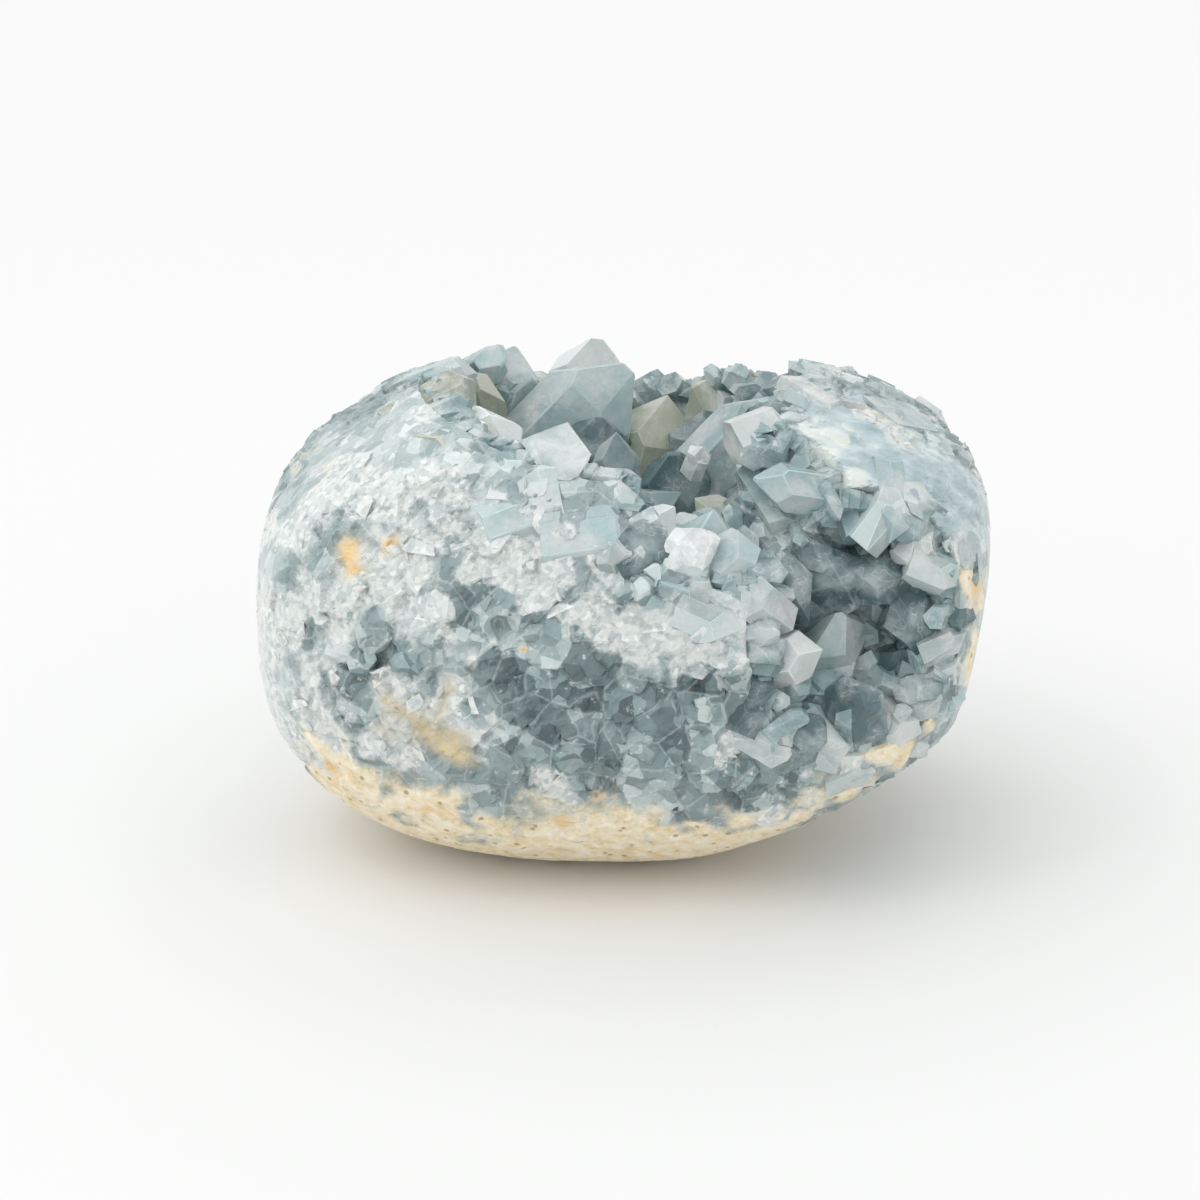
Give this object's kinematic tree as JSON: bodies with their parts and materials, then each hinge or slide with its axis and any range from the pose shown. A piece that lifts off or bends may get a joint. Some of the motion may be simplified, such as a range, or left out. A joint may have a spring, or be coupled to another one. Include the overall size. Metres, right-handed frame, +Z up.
{
  "type": "celestite geode",
  "caption": "Ground, rounded crystal nodule, open at the top and front right, its hollow lined with a crust of pale blue crystals; rests on a small flat spot.",
  "frame": {"origin": "middle of the small flat spot under the nodule", "axes": "+X along the nodule's length, towards the end with the notch; +Y away from the polished front; +Z up"},
  "size_m": [0.1453, 0.1087, 0.0978],
  "materials": {
    "ground_matrix": "ground blue-grey crystals in white and cream matrix",
    "celestine": "pale blue clear to milky crystals, glassy"
  },
  "bodies": {
    "root": {"polished_nodule": "ground_matrix", "crystal_crust": "celestine"}
  },
  "joints": []
}
